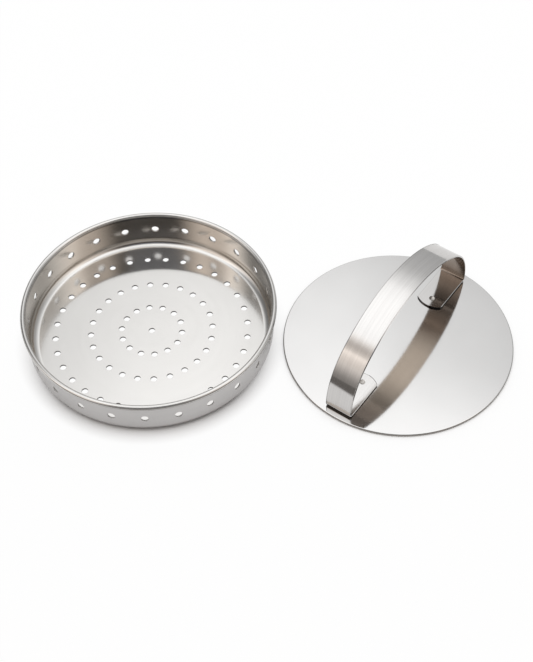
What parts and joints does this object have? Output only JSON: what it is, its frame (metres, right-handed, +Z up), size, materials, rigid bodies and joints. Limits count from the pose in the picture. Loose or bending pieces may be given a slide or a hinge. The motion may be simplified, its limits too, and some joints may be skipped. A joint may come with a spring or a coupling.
{
  "type": "oil press with drain pan",
  "caption": "Stainless oil press set: a round flat press plate with an arched strip handle, beside the shallow perforated drain pan with a rolled rim that it presses in.",
  "frame": {"origin": "centre of the press plate's underside, on the table that both pieces stand on", "axes": "+Z up, out of the plate towards the crown of the handle; +X away from the drain pan, along the line that joins the two centres"},
  "size_m": [0.3478, 0.18, 0.0652],
  "materials": {
    "pan_steel": "bright satin",
    "plate_steel": "fine satin",
    "strip_steel": "lengthwise polished",
    "weld_steel": "dull, pressed by the electrode"
  },
  "bodies": {
    "pan": {"drain_pan": "pan_steel"},
    "press": {"press_plate": "plate_steel", "handle_strip": "strip_steel", "front_weld": "weld_steel", "back_weld": "weld_steel"}
  },
  "joints": [
    {"name": "press_lift", "type": "slide", "parent": "pan", "child": "press", "axis": [0, 0, 1], "range_m": [0, 0.1]}
  ]
}
